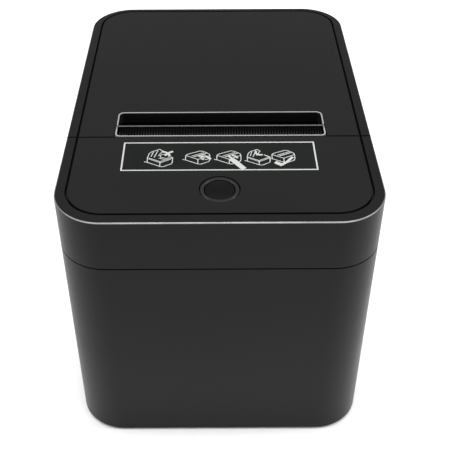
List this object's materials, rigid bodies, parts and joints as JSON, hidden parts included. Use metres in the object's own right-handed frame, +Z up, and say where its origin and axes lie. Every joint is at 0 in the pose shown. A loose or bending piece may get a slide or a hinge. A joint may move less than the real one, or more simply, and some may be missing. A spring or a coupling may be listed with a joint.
{
  "type": "receipt printer",
  "caption": "Black cube-shaped thermal receipt printer with a rear-hinged lid, a paper slot with a saw-toothed tear bar, an instruction label and a round open button.",
  "frame": {"origin": "middle of the footprint, on the surface the feet stand on", "axes": "+Z up, -Y out of the front with the button and label, +X to the right seen from the front"},
  "size_m": [0.123, 0.1688, 0.1206],
  "materials": {
    "black_plastic": "fine satin grain",
    "panel_plastic": "fine satin grain",
    "inner_plastic": "matte",
    "tear_plastic": "satin",
    "label_film": "printed film with white line drawings",
    "slot_trim": "satin grey",
    "foot_rubber": "matte",
    "roller_rubber": "ground",
    "zinc_steel": "zinc plated",
    "bare_steel": "ground",
    "blade_steel": "ground and polished",
    "motor_can": "plated",
    "spring_steel": "bright",
    "heatsink": "extruded",
    "ceramic": "glazed print surface",
    "gear_acetal": "smooth",
    "motor_brass": "machined",
    "circuit_board": "solder mask",
    "board_parts": "moulded packages",
    "led_lens": "diffusing",
    "light_guide": "smoked translucent",
    "button_plastic": "satin",
    "flex_film": "polyimide film",
    "socket_metal": "plated shell",
    "socket_plastic": "moulded",
    "switch_plastic": "smooth"
  },
  "bodies": {
    "casing": {"lower_casing": "black_plastic", "base_plate": "inner_plastic", "feet": "foot_rubber", "casing_screws": "zinc_steel", "front_cover": "black_plastic", "front_panel": "panel_plastic", "instruction_label": "label_film", "tear_bar": "tear_plastic", "tear_bar_trim": "slot_trim", "button_ring": "light_guide", "button_spring": "spring_steel", "button_board": "circuit_board", "button_leds": "led_lens", "latch_spring": "spring_steel", "paper_bucket": "inner_plastic", "mechanism_frame": "zinc_steel", "frame_screws": "zinc_steel", "head_shaft": "bare_steel", "idler_stud": "bare_steel", "feed_motor": "motor_can", "head_springs": "spring_steel", "head_cable": "flex_film", "cutter_frame": "zinc_steel", "cutter_guides": "inner_plastic", "cutter_motor": "motor_can", "main_board": "circuit_board", "main_board_parts": "board_parts", "main_board_screws": "zinc_steel", "rear_board": "circuit_board", "rear_board_screws": "zinc_steel", "switch_body": "switch_plastic", "power_socket": "socket_plastic", "drawer_socket": "socket_plastic", "usb_socket": "socket_metal", "network_socket": "socket_metal"},
    "lid": {"lid_shell": "black_plastic", "lid_panel": "panel_plastic", "lid_slot_trim": "slot_trim", "lid_liner": "inner_plastic", "lid_screws": "zinc_steel", "lid_beam": "inner_plastic", "fixed_blade": "blade_steel", "platen_brackets": "zinc_steel", "platen_bushings": "gear_acetal", "hinge_pins": "bare_steel"},
    "platen": {"platen_roller": "roller_rubber", "platen_shaft": "bare_steel", "platen_gear": "gear_acetal"},
    "idler": {"idler_gear": "gear_acetal"},
    "feed_drive": {"feed_pinion": "motor_brass"},
    "latch": {"latch_lever": "zinc_steel"},
    "open_button": {"button_cap": "button_plastic"},
    "head": {"head_heatsink": "heatsink", "head_ceramic": "ceramic"},
    "cutter": {"moving_blade": "blade_steel", "blade_rack": "gear_acetal"},
    "cutter_drive": {"cutter_shaft": "bare_steel", "cutter_gears": "gear_acetal"},
    "cutter_pinion": {"cutter_pinion": "motor_brass"},
    "rocker": {"switch_rocker": "switch_plastic"}
  },
  "joints": [
    {"name": "lid_hinge", "type": "hinge", "parent": "casing", "child": "lid", "pos_m": [0, 0.0782, 0.0968], "axis": [-1, 0, 0], "range_deg": [0, 95]},
    {"name": "platen_spin", "type": "hinge", "parent": "lid", "child": "platen", "pos_m": [0, -0.015, 0.0936], "axis": [1, 0, 0], "continuous": true},
    {"name": "idler_spin", "type": "hinge", "parent": "casing", "child": "idler", "pos_m": [0, -0.02044, 0.07686], "axis": [1, 0, 0], "continuous": true},
    {"name": "feed_motor_spin", "type": "hinge", "parent": "casing", "child": "feed_drive", "pos_m": [0, -0.03998, 0.06975], "axis": [1, 0, 0], "continuous": true},
    {"name": "open_button_press", "type": "slide", "parent": "casing", "child": "open_button", "axis": [0, 0, -1], "range_m": [0, 0.003], "stiffness_N_per_m": 500, "springref_m": -0.001, "deforming": ["button_spring"]},
    {"name": "latch_pivot", "type": "hinge", "parent": "casing", "child": "latch", "pos_m": [0, -0.027, 0.0796], "axis": [1, 0, 0], "range_deg": [0, 4.7]},
    {"name": "head_pivot", "type": "hinge", "parent": "casing", "child": "head", "pos_m": [0, -0.027, 0.0796], "axis": [1, 0, 0], "range_deg": [0, 2], "stiffness_Nm_per_rad": 4, "springref_deg": -2.86, "deforming": ["head_springs"]},
    {"name": "cutter_slide", "type": "slide", "parent": "casing", "child": "cutter", "axis": [0, 1, 0], "range_m": [0, 0.008]},
    {"name": "cutter_shaft_spin", "type": "hinge", "parent": "casing", "child": "cutter_drive", "pos_m": [0, -0.038, 0.09735], "axis": [1, 0, 0], "range_deg": [-95, 5]},
    {"name": "cutter_motor_spin", "type": "hinge", "parent": "casing", "child": "cutter_pinion", "pos_m": [0, -0.04701, 0.09215], "axis": [1, 0, 0], "range_deg": [-5, 150]},
    {"name": "power_switch_tilt", "type": "hinge", "parent": "casing", "child": "rocker", "pos_m": [0.057, -0.054, 0.028], "axis": [0, 1, 0], "range_deg": [-16, 0]}
  ],
  "couplings": [
    {"joint": "idler_spin", "follows": "platen_spin", "ratio": -1.2},
    {"joint": "feed_motor_spin", "follows": "platen_spin", "ratio": 4},
    {"joint": "latch_pivot", "follows": "open_button_press", "rad_per_m": 26},
    {"joint": "cutter_shaft_spin", "follows": "cutter_slide", "rad_per_m": -200},
    {"joint": "cutter_motor_spin", "follows": "cutter_slide", "rad_per_m": 320}
  ]
}
